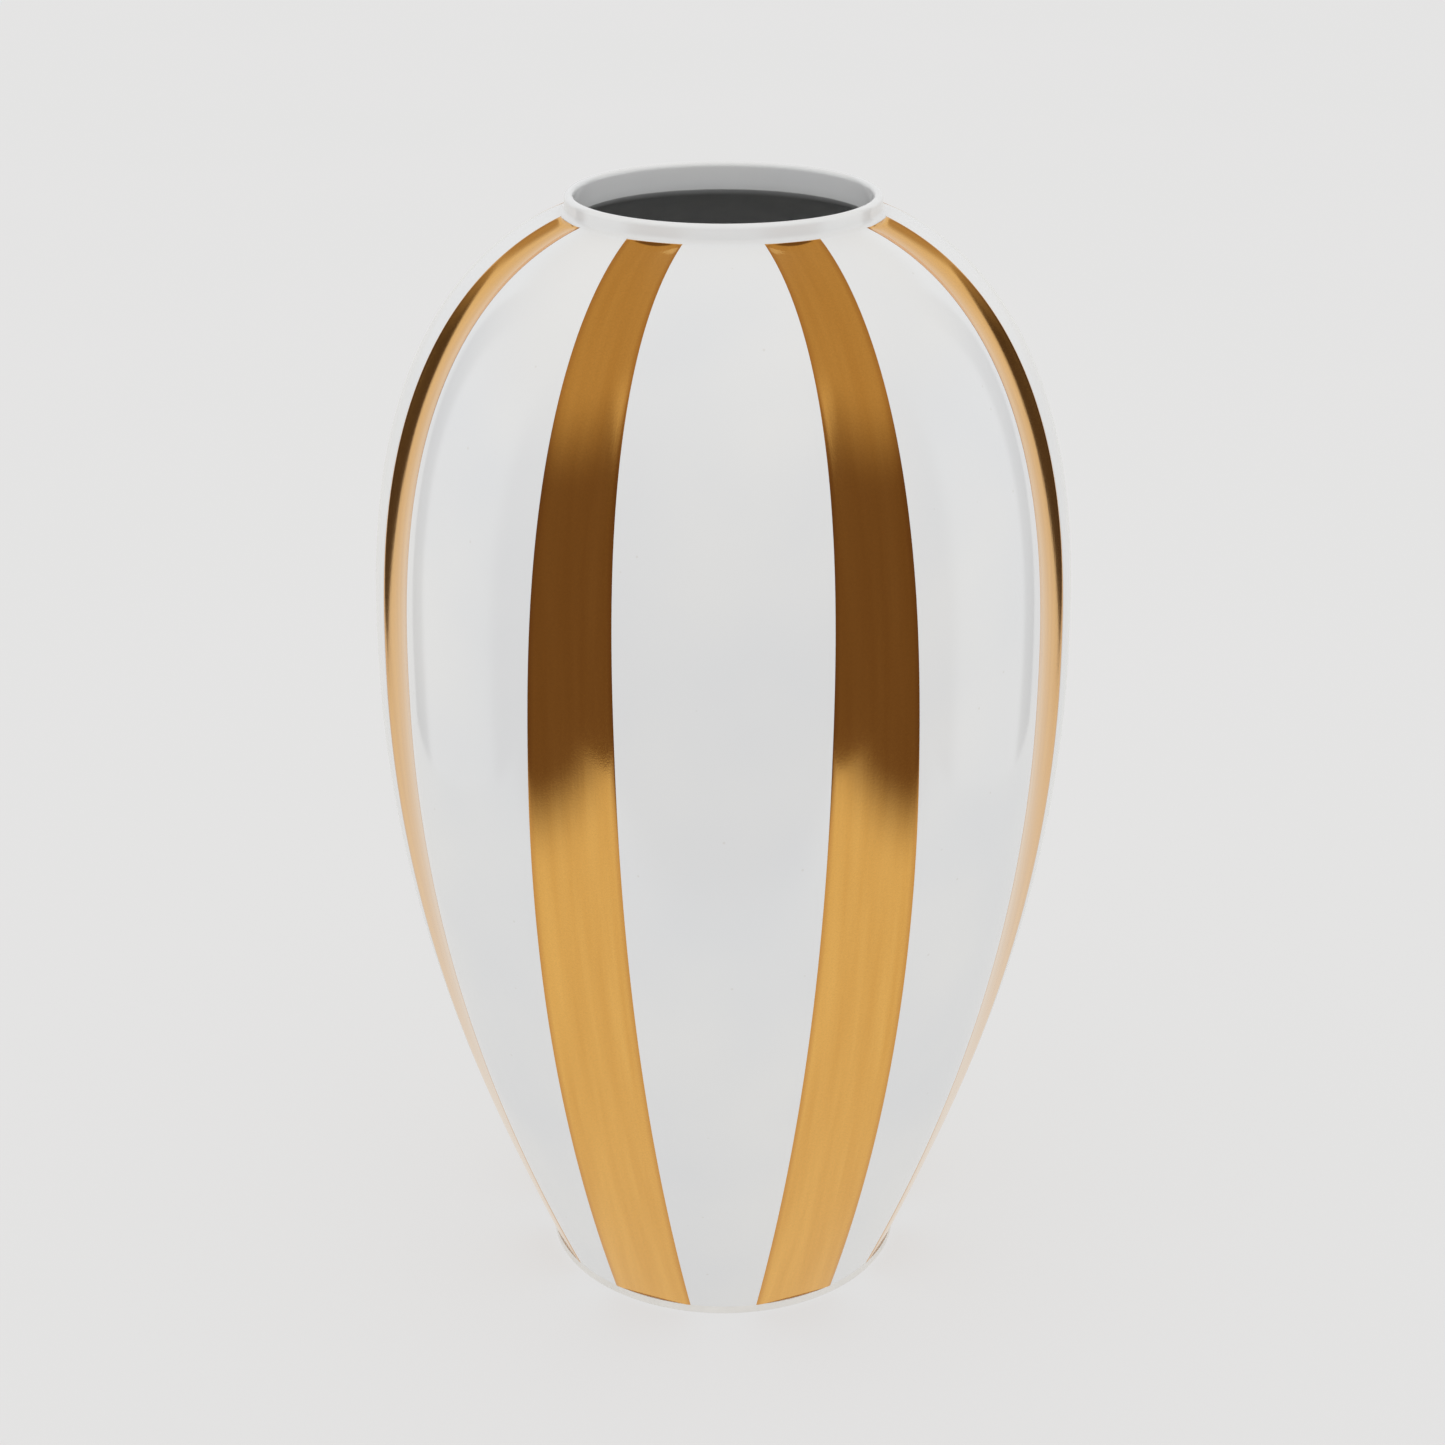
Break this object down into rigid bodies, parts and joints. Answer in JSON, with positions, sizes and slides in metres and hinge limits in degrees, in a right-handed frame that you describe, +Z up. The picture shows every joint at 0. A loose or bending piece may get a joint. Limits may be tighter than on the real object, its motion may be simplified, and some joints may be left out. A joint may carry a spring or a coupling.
{
  "type": "porcelain vase",
  "caption": "Ovoid fluted porcelain vase with a short rolled collar, glazed white, with burnished gold bands laid in vertical flutes.",
  "frame": {"origin": "centre of the foot ring, on the surface that the vase stands on", "axes": "+Z up along the vase's axis; the front panel faces -Y"},
  "size_m": [0.1526, 0.1526, 0.25],
  "materials": {
    "bisque": "unglazed white porcelain, matt",
    "white_glaze": "clear gloss glaze over white porcelain",
    "burnished_gold": "fired gold, burnished to a fine grain"
  },
  "bodies": {
    "root": {"body": "bisque", "foot_ring": "bisque", "collar": "bisque", "outer_glaze": "white_glaze", "rim_glaze": "white_glaze", "inner_glaze": "white_glaze", "gold_band_1": "burnished_gold", "gold_band_2": "burnished_gold", "gold_band_3": "burnished_gold", "gold_band_4": "burnished_gold", "gold_band_5": "burnished_gold", "gold_band_6": "burnished_gold", "gold_band_7": "burnished_gold", "gold_band_8": "burnished_gold"}
  },
  "joints": []
}
